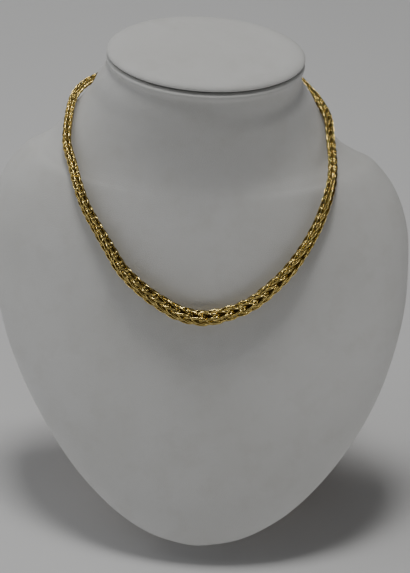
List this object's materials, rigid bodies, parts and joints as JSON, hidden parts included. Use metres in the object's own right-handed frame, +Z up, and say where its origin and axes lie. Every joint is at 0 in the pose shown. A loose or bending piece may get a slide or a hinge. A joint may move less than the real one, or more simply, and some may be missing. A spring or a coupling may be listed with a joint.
{
  "type": "wheat chain necklace on a neck bust",
  "caption": "Graduated yellow gold wheat chain necklace, closed by a barrel clasp, worn by a free-standing covered neck bust with a padded oval top.",
  "frame": {"origin": "on the surface that the stand rests on, straight under the middle of the neck's top, inside the base plate's outline", "axes": "+Z up, the chest faces -Y, +X to the right as seen from the front"},
  "size_m": [0.2047, 0.1431, 0.2351],
  "materials": {
    "cover": "smooth matt leatherette",
    "timber": "plain sealed board",
    "gold": "polished yellow gold"
  },
  "bodies": {
    "root": {"bust_form": "cover", "cap_pad": "cover", "back_brace": "timber", "base_plate": "timber", "wheat_chain": "gold", "clasp": "gold"}
  },
  "joints": []
}
